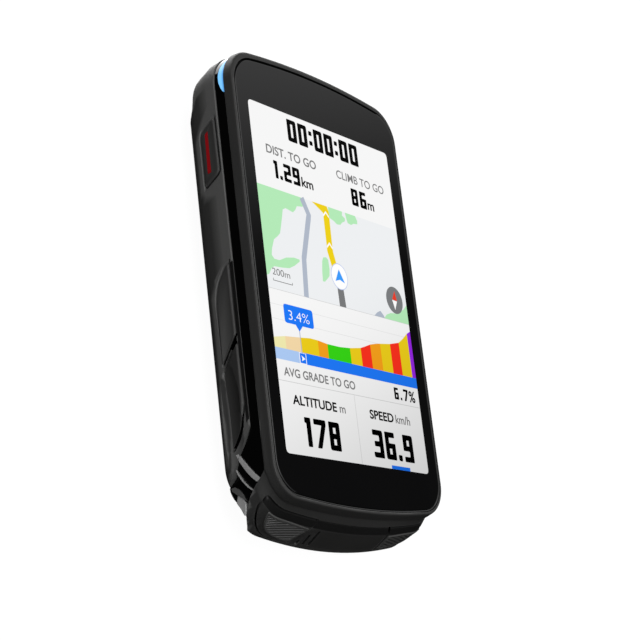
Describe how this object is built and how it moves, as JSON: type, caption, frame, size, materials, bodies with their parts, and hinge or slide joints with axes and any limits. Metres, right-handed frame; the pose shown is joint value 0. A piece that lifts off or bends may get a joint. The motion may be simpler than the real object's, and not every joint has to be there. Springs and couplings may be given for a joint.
{
  "type": "cycling computer",
  "caption": "Handlebar cycling computer: portrait touch screen in a matte black case, front and side keys, corner lights, port flap and a quarter-turn mount on the back.",
  "frame": {"origin": "middle of the bounding box footprint, on the mount face the unit rests on", "axes": "+Z out of the screen, +Y towards the top end of the screen, +X to the right of the screen as its rider reads it"},
  "size_m": [0.0592, 0.1026, 0.0185],
  "materials": {
    "housing_black": "fine textured matte black",
    "inner_gloss": "high gloss black",
    "cover_glass": "clear glass with a black printed border",
    "display": "lit display, smooth",
    "light_pipe": "frosted translucent light guide, lit pale blue",
    "red_insert": "satin deep red",
    "rubber_black": "soft matte black",
    "steel": "fine brushed",
    "board": "solder mask green",
    "film": "amber film",
    "cell": "laminated pouch, satin",
    "ceramic": "unglazed, pale",
    "dark_grey_plastic": "moulded dark grey"
  },
  "bodies": {
    "unit": {"battery": "cell", "battery_lead": "film", "buzzer": "dark_grey_plastic", "case_screw_1": "steel", "case_screw_2": "steel", "case_screw_3": "steel", "case_screw_4": "steel", "chin_key_board": "film", "chin_panel": "housing_black", "cover_glass": "cover_glass", "display_backlight": "steel", "display_flex": "film", "display_panel": "display", "front_frame": "housing_black", "glass_gasket": "rubber_black", "gnss_antenna": "ceramic", "left_key_carrier": "dark_grey_plastic", "left_key_seal": "rubber_black", "left_key_switch": "steel", "light_guide_left": "light_pipe", "light_guide_right": "light_pipe", "light_led_left": "ceramic", "light_led_right": "ceramic", "main_board": "board", "main_seal": "rubber_black", "mid_housing": "inner_gloss", "mount_insert": "dark_grey_plastic", "mount_screw_1": "steel", "mount_screw_2": "steel", "mount_screw_3": "steel", "page_down_seal": "rubber_black", "page_down_switch": "steel", "page_up_seal": "rubber_black", "page_up_switch": "steel", "power_seal": "rubber_black", "power_switch": "steel", "pressure_sensor": "steel", "rear_shell": "housing_black", "right_key_carrier": "dark_grey_plastic", "right_key_seal": "rubber_black", "right_key_switch": "steel", "shield_can": "steel", "side_key_board": "film", "side_key_carrier": "dark_grey_plastic", "usb_receptacle": "steel", "vent_membrane": "ceramic"},
    "power_key": {"power_button": "housing_black", "power_button_stripe": "red_insert", "power_plunger": "dark_grey_plastic"},
    "page_up_key": {"page_up_button": "housing_black", "page_up_plunger": "dark_grey_plastic"},
    "page_down_key": {"page_down_button": "housing_black", "page_down_plunger": "dark_grey_plastic"},
    "left_front_key": {"left_key": "housing_black", "left_key_plunger": "dark_grey_plastic"},
    "right_front_key": {"right_key": "housing_black", "right_key_plunger": "dark_grey_plastic"},
    "port_flap": {"usb_port_cover": "rubber_black"}
  },
  "joints": [
    {"name": "power_press", "type": "slide", "parent": "unit", "child": "power_key", "axis": [1, 0, 0], "range_m": [0, 0.00045], "stiffness_N_per_m": 2000, "springref_m": -0.0003},
    {"name": "page_up_press", "type": "slide", "parent": "unit", "child": "page_up_key", "axis": [1, 0, 0], "range_m": [0, 0.00045], "stiffness_N_per_m": 2000, "springref_m": -0.0003},
    {"name": "page_down_press", "type": "slide", "parent": "unit", "child": "page_down_key", "axis": [1, 0, 0], "range_m": [0, 0.00045], "stiffness_N_per_m": 2000, "springref_m": -0.0003},
    {"name": "left_key_press", "type": "slide", "parent": "unit", "child": "left_front_key", "axis": [0, 1, 0], "range_m": [0, 0.0005], "stiffness_N_per_m": 2000, "springref_m": -0.0003},
    {"name": "right_key_press", "type": "slide", "parent": "unit", "child": "right_front_key", "axis": [0, 1, 0], "range_m": [0, 0.0005], "stiffness_N_per_m": 2000, "springref_m": -0.0003},
    {"name": "port_flap_hinge", "type": "hinge", "parent": "unit", "child": "port_flap", "pos_m": [0, -0.0411, 0.00545], "axis": [1, 0, 0], "range_deg": [0, 95]}
  ]
}
